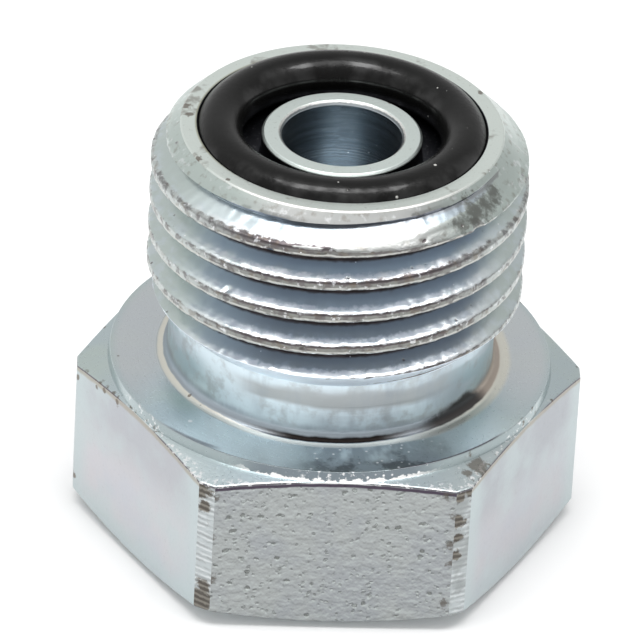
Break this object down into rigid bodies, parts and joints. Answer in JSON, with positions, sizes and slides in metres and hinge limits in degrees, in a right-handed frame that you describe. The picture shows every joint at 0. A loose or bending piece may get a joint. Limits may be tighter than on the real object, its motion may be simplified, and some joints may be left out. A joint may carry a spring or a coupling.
{
  "type": "threaded plug",
  "caption": "Steel face-seal plug for a hydraulic line: hexagon head, plain neck, male thread, and an O-ring in a captive groove of the end face.",
  "frame": {"origin": "centre of the flat closed end of the hexagon head, on which the plug stands", "axes": "+Z along the thread's axis towards the sealing face, +Y out of one wrench flat, two of the six corners on the X axis"},
  "size_m": [0.0192, 0.017, 0.0174],
  "materials": {
    "plated_steel": "zinc plated with a clear bluish passivation, turned marks, small brown stains",
    "nitrile_rubber": "black, slightly oily, with dust specks"
  },
  "bodies": {
    "root": {"plug_body": "plated_steel", "o_ring": "nitrile_rubber"}
  },
  "joints": []
}
